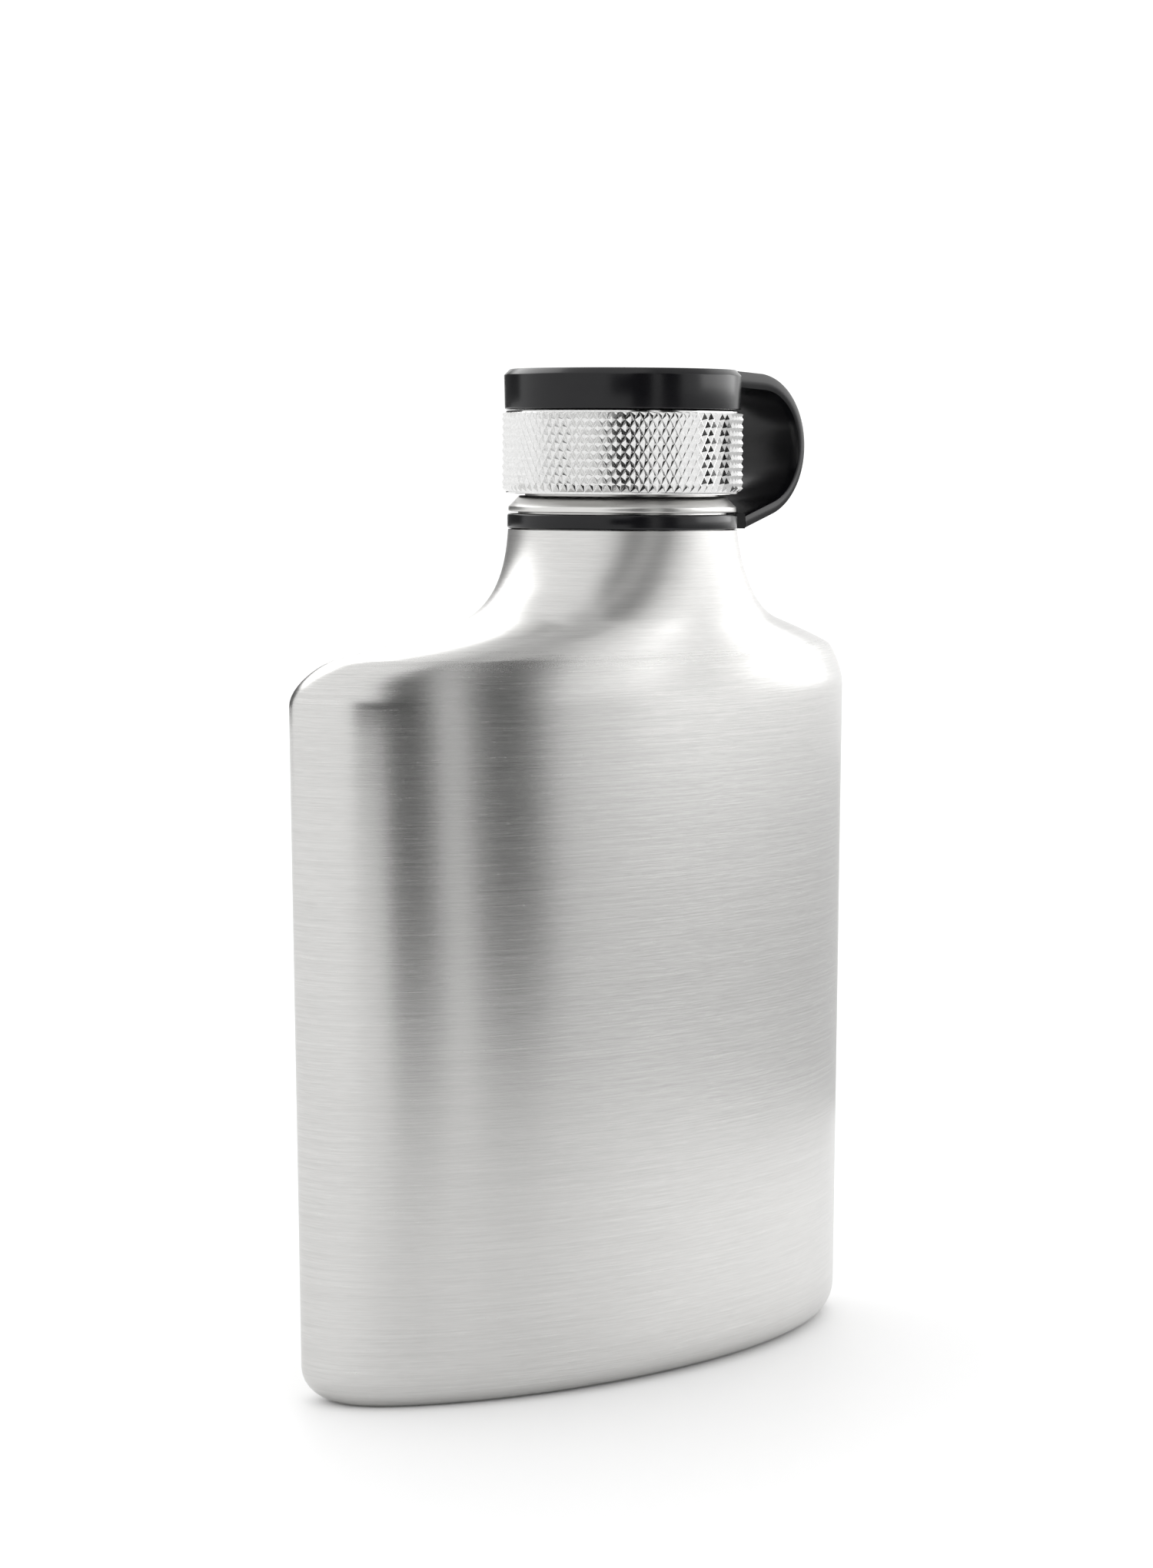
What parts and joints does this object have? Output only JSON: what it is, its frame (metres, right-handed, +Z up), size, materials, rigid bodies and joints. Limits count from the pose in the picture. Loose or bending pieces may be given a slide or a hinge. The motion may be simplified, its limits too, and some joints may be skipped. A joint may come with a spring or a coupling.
{
  "type": "hip flask",
  "caption": "Curved stainless hip flask with tapered body, threaded neck and a knurled screw cap held by a strap that loops from a pad on the cap to a ring round the neck.",
  "frame": {"origin": "point where the neck axis meets the base plane, on the flat underside of the base plate", "axes": "+Z up along the neck axis, +X to the right along the width, towards the tether strap, -Y towards the bowed front"},
  "size_m": [0.0944, 0.03, 0.124],
  "materials": {
    "brushed_steel": "fine horizontal brushing over pressed stainless steel",
    "turned_steel": "fine turned stainless steel",
    "knurled_steel": "bright diamond knurl on stainless steel",
    "liner_plastic": "moulded black polypropylene",
    "silicone": "translucent white silicone",
    "tether_plastic": "satin black moulded nylon"
  },
  "bodies": {
    "flask": {"front_shell": "brushed_steel", "back_shell": "brushed_steel", "base_plate": "brushed_steel", "neck_finish": "turned_steel"},
    "ring": {"tether_ring": "tether_plastic"},
    "disc": {"tether_disc": "tether_plastic", "tether_strap": "tether_plastic"},
    "pivot": {"pivot_rivet": "turned_steel", "pivot_washer": "turned_steel"},
    "cap": {"cap_shell": "knurled_steel", "cap_liner": "liner_plastic", "cap_gasket": "silicone"}
  },
  "joints": [
    {"name": "tether_swivel", "type": "hinge", "parent": "flask", "child": "ring", "pos_m": [0, 0, 0.1053], "axis": [0, 0, 1], "continuous": true},
    {"name": "tether_lift", "type": "slide", "parent": "ring", "child": "disc", "axis": [0, 0, 1], "range_m": [0, 0.0105], "deforming": ["tether_strap"]},
    {"name": "cap_rise", "type": "slide", "parent": "flask", "child": "pivot", "axis": [0, 0, 1], "range_m": [0, 0.0105]},
    {"name": "cap_spin", "type": "hinge", "parent": "pivot", "child": "cap", "pos_m": [0, 0, 0.1138], "axis": [0, 0, 1], "range_deg": [0, 1259.9]}
  ],
  "couplings": [
    {"joint": "cap_rise", "follows": "cap_spin", "m_per_rad": 0.00047746},
    {"joint": "tether_lift", "follows": "cap_spin", "m_per_rad": 0.00047746}
  ]
}
